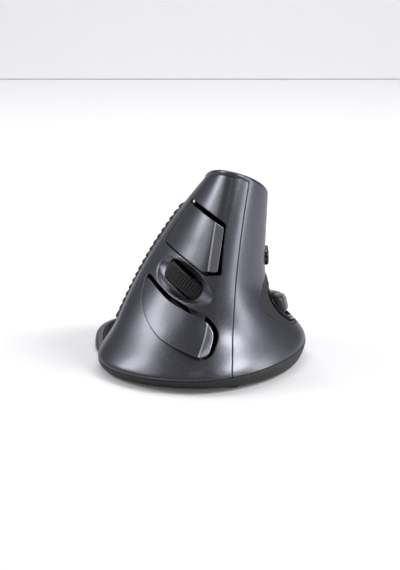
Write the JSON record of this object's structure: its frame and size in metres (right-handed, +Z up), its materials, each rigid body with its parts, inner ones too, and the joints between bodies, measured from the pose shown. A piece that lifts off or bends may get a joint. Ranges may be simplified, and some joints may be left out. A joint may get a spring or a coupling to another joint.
{
  "type": "vertical computer mouse",
  "caption": "Upright right-handed cordless mouse: leaning painted shell with finger keys, scroll wheel, thumb keys and pad, ribbed grip and a clip-on palm rest.",
  "frame": {"origin": "on the desk, under the middle of the bounding box", "axes": "-Y is the front that faces away from the user, +X is the thumb side, +Z is up from the desk"},
  "size_m": [0.0735, 0.0985, 0.0671],
  "materials": {
    "housing_paint": "metallic gun-metal paint, satin",
    "key_paint": "metallic gun-metal paint, satin",
    "base_black": "fine moulded texture",
    "rubber_black": "matt rubber",
    "rubber_grey": "matt rubber",
    "gloss_black": "high gloss",
    "key_grey": "satin",
    "palm_plastic": "satin",
    "glide": "slippery",
    "inner_plastic": "plain",
    "slider_white": "plain",
    "steel": "plain",
    "spring_metal": "nickel",
    "cell_wrap": "printed sleeve, plain",
    "board": "solder mask",
    "chip": "plain",
    "lens": "clear",
    "lamp": "clear red",
    "ribbon": "flat flex"
  },
  "bodies": {
    "housing": {"base_plate": "base_black", "finger_shell": "housing_paint", "thumb_shell": "housing_paint", "finger_grip": "rubber_black", "wheel_switch": "inner_plastic", "thumb_pad": "rubber_grey", "thumb_bezel": "gloss_black", "foot_front": "glide", "foot_rear": "glide", "foot_finger": "glide", "foot_thumb": "glide", "cell_left": "cell_wrap", "cell_right": "cell_wrap", "contact_front": "spring_metal", "contact_rear": "spring_metal", "cell_springs": "spring_metal", "main_board": "board", "sensor": "chip", "sensor_lens": "lens", "sensor_led": "lamp", "controller": "chip", "antenna_module": "chip", "finger_board": "board", "left_switch": "inner_plastic", "right_switch": "inner_plastic", "finger_frame": "inner_plastic", "frame_screws": "steel", "board_screws": "steel", "thumb_board": "board", "forward_switch": "inner_plastic", "back_switch": "inner_plastic", "dpi_switch": "inner_plastic", "power_switch": "inner_plastic", "finger_ribbon": "ribbon", "thumb_ribbon": "ribbon"},
    "left_key": {"left_button": "key_paint"},
    "right_key": {"right_button": "key_paint"},
    "wheel_fork": {"wheel_carrier": "inner_plastic", "wheel_encoder": "inner_plastic"},
    "wheel": {"wheel_tyre": "rubber_black", "wheel_hub": "inner_plastic", "wheel_axle": "steel"},
    "forward_key": {"forward_button": "key_grey"},
    "back_key": {"back_button": "key_grey"},
    "dpi_key": {"dpi_button": "gloss_black"},
    "slider": {"power_slider": "slider_white"},
    "door": {"battery_door": "base_black"},
    "receiver": {"receiver_cap": "inner_plastic", "receiver_plug": "steel"},
    "palm_support": {"palm_rest": "palm_plastic", "palm_pad": "rubber_black", "palm_foot_front": "glide", "palm_foot_rear": "glide"}
  },
  "joints": [
    {"name": "left_click", "type": "hinge", "parent": "housing", "child": "left_key", "pos_m": [-0.00735, -0.00499, 0.04836], "axis": [0.6012, 0.0833, 0.7948], "range_deg": [0, 1.4], "stiffness_Nm_per_rad": 0.6},
    {"name": "right_click", "type": "hinge", "parent": "housing", "child": "right_key", "pos_m": [-0.01987, -0.01061, 0.02696], "axis": [0.6012, 0.0833, 0.7948], "range_deg": [0, 1.4], "stiffness_Nm_per_rad": 0.6},
    {"name": "wheel_press", "type": "slide", "parent": "housing", "child": "wheel_fork", "axis": [0.5954, 0.6166, -0.515], "range_m": [0, 0.0004], "stiffness_N_per_m": 2500},
    {"name": "wheel_spin", "type": "hinge", "parent": "wheel_fork", "child": "wheel", "pos_m": [-0.0012, -0.01862, 0.02827], "axis": [0.6012, 0.0833, 0.7948], "continuous": true},
    {"name": "forward_press", "type": "slide", "parent": "housing", "child": "forward_key", "axis": [-1, 0, 0], "range_m": [0, 0.0005], "stiffness_N_per_m": 1500},
    {"name": "back_press", "type": "slide", "parent": "housing", "child": "back_key", "axis": [-1, 0, 0], "range_m": [0, 0.0005], "stiffness_N_per_m": 1500},
    {"name": "dpi_press", "type": "slide", "parent": "housing", "child": "dpi_key", "axis": [-1, 0, 0], "range_m": [0, 0.0005], "stiffness_N_per_m": 1500},
    {"name": "power_slide", "type": "slide", "parent": "housing", "child": "slider", "axis": [0, 1, 0], "range_m": [-0.0015, 0.0015]},
    {"name": "door_off", "type": "slide", "parent": "housing", "child": "door", "axis": [0, 0, -1], "range_m": [0, 0.012]},
    {"name": "receiver_out", "type": "slide", "parent": "housing", "child": "receiver", "axis": [0, 0, -1], "range_m": [0, 0.014]},
    {"name": "palm_rest_off", "type": "slide", "parent": "housing", "child": "palm_support", "axis": [-0.7071, 0.7071, 0], "range_m": [0, 0.015]}
  ]
}
